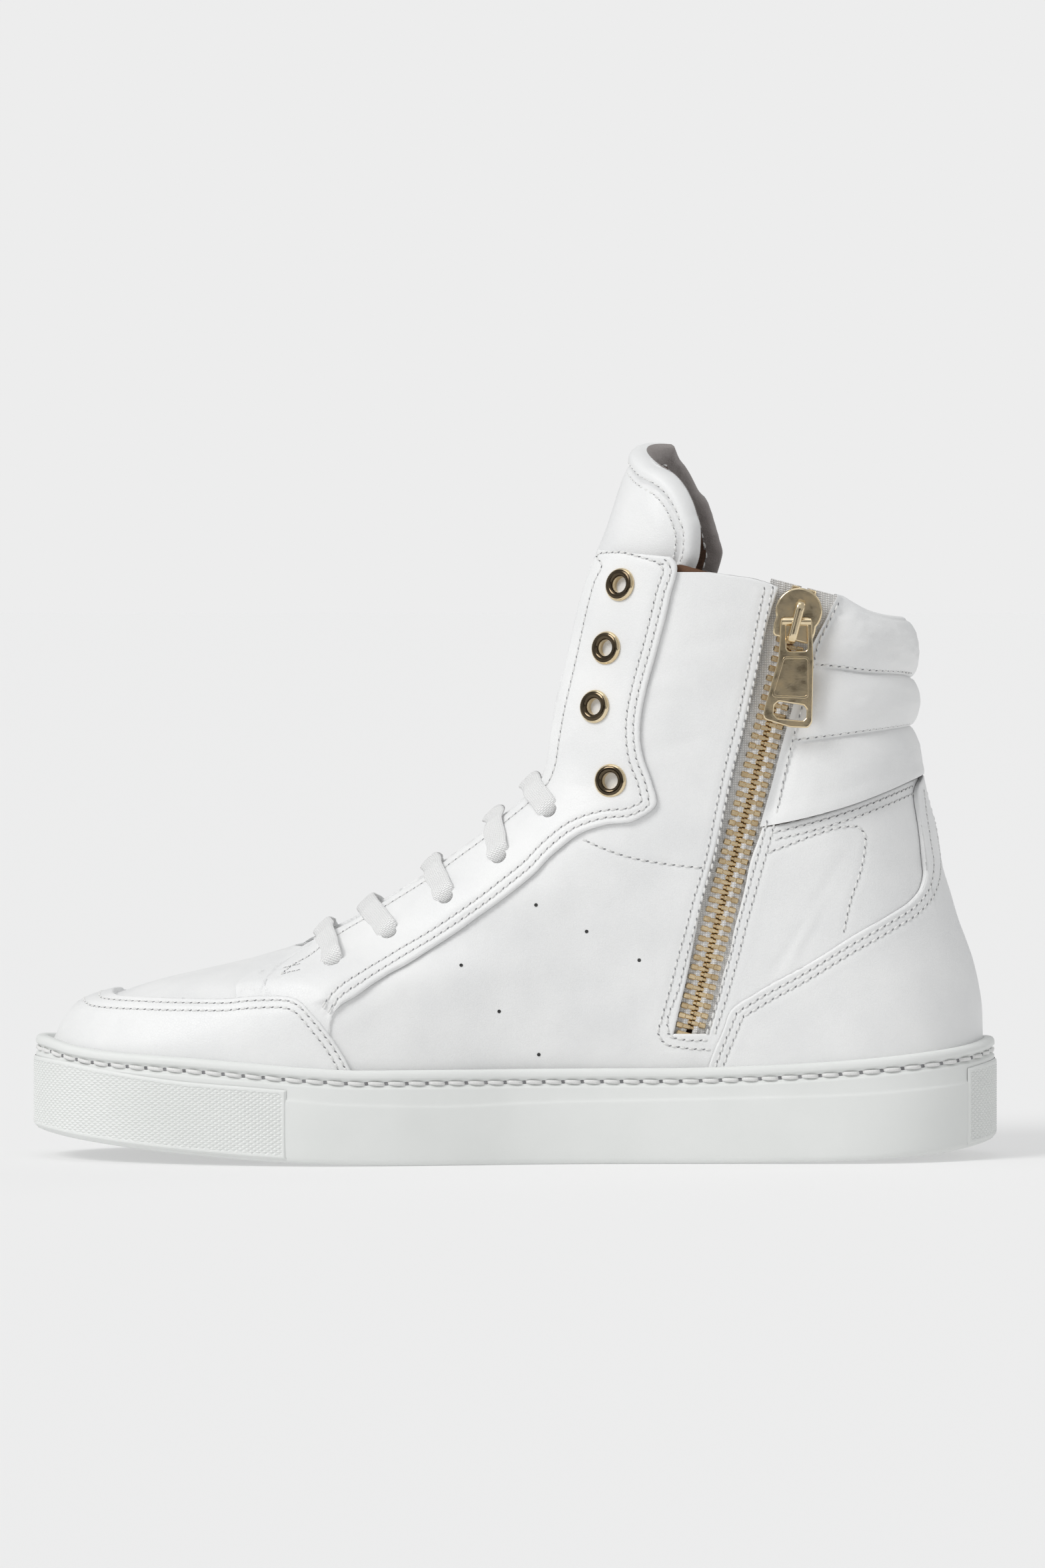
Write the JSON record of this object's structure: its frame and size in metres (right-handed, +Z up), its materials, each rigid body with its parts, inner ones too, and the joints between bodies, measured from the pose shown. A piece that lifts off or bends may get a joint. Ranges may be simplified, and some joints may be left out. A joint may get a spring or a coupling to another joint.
{
  "type": "high-top basketball shoe",
  "caption": "High-top lace-up shoe with a padded collar, a stitched rubber cup sole and a side zip whose slider, pull tab and padded tongue move.",
  "frame": {"origin": "centre of the shoe's bounding box, on the floor it stands on", "axes": "+X from the toe towards the heel, +Y from the inner (zip) side to the outer side, +Z up"},
  "size_m": [0.2996, 0.1141, 0.2195],
  "materials": {
    "sole_rubber": "matte, slightly cool white",
    "foam": "open-cell foam",
    "thread": "waxed",
    "board": "pressed fibre board",
    "footbed_leather": "soft",
    "upper_leather": "smooth nappa, low sheen",
    "lining_leather": "soft, matte",
    "zip_tape": "woven",
    "zip_metal": "polished, antiqued",
    "eyelet_metal": "polished",
    "lace_cotton": "knitted",
    "tip_metal": "bright",
    "tongue_suede": "suede",
    "edge_leather": "wrinkled"
  },
  "bodies": {
    "shoe": {"cupsole": "sole_rubber", "sole_filler": "foam", "sole_stitching": "thread", "insole_board": "board", "footbed": "footbed_leather", "mudguard": "upper_leather", "vamp": "upper_leather", "quarter_inner_front": "upper_leather", "quarter_inner_rear": "upper_leather", "quarter_outer_front": "upper_leather", "quarter_outer_rear": "upper_leather", "eyestay_inner": "upper_leather", "eyestay_outer": "upper_leather", "heel_counter_cover": "upper_leather", "collar_cover": "upper_leather", "collar_foam": "foam", "toe_puff": "board", "heel_stiffener": "board", "vamp_lining": "lining_leather", "lining_inner_front": "lining_leather", "lining_inner_rear": "lining_leather", "lining_outer_front": "lining_leather", "lining_outer_rear": "lining_leather", "zip_facing_front": "lining_leather", "zip_facing_rear": "lining_leather", "zip_tape_front": "zip_tape", "zip_tape_rear": "zip_tape", "zip_teeth_front": "zip_metal", "zip_teeth_rear": "zip_metal", "zip_top_stops": "zip_metal", "zip_bottom_stop": "zip_metal", "eyelets_inner": "eyelet_metal", "eyelets_outer": "eyelet_metal", "eyelet_washers_inner": "eyelet_metal", "eyelet_washers_outer": "eyelet_metal", "lace": "lace_cotton", "lace_tips": "tip_metal"},
    "tongue": {"tongue_cover": "upper_leather", "tongue_foam": "foam", "tongue_lining": "tongue_suede", "tongue_edge_strip": "edge_leather"},
    "slider": {"slider_body": "zip_metal", "slider_bridge": "zip_metal"},
    "tab": {"pull_tab": "zip_metal"}
  },
  "joints": [
    {"name": "zip_slide", "type": "slide", "parent": "shoe", "child": "slider", "axis": [-0.2508, 0.0077, -0.968], "range_m": [0, 0.103]},
    {"name": "pull_lift", "type": "hinge", "parent": "slider", "child": "tab", "pos_m": [0.08601, -0.04463, 0.16581], "axis": [-1, 0, 0], "range_deg": [0, 165]},
    {"name": "tongue_swing", "type": "hinge", "parent": "shoe", "child": "tongue", "pos_m": [-0.062, -0.00275, 0.06], "axis": [0, 1, 0], "range_deg": [0, 7], "stiffness_Nm_per_rad": 3, "springref_deg": -1.72}
  ]
}
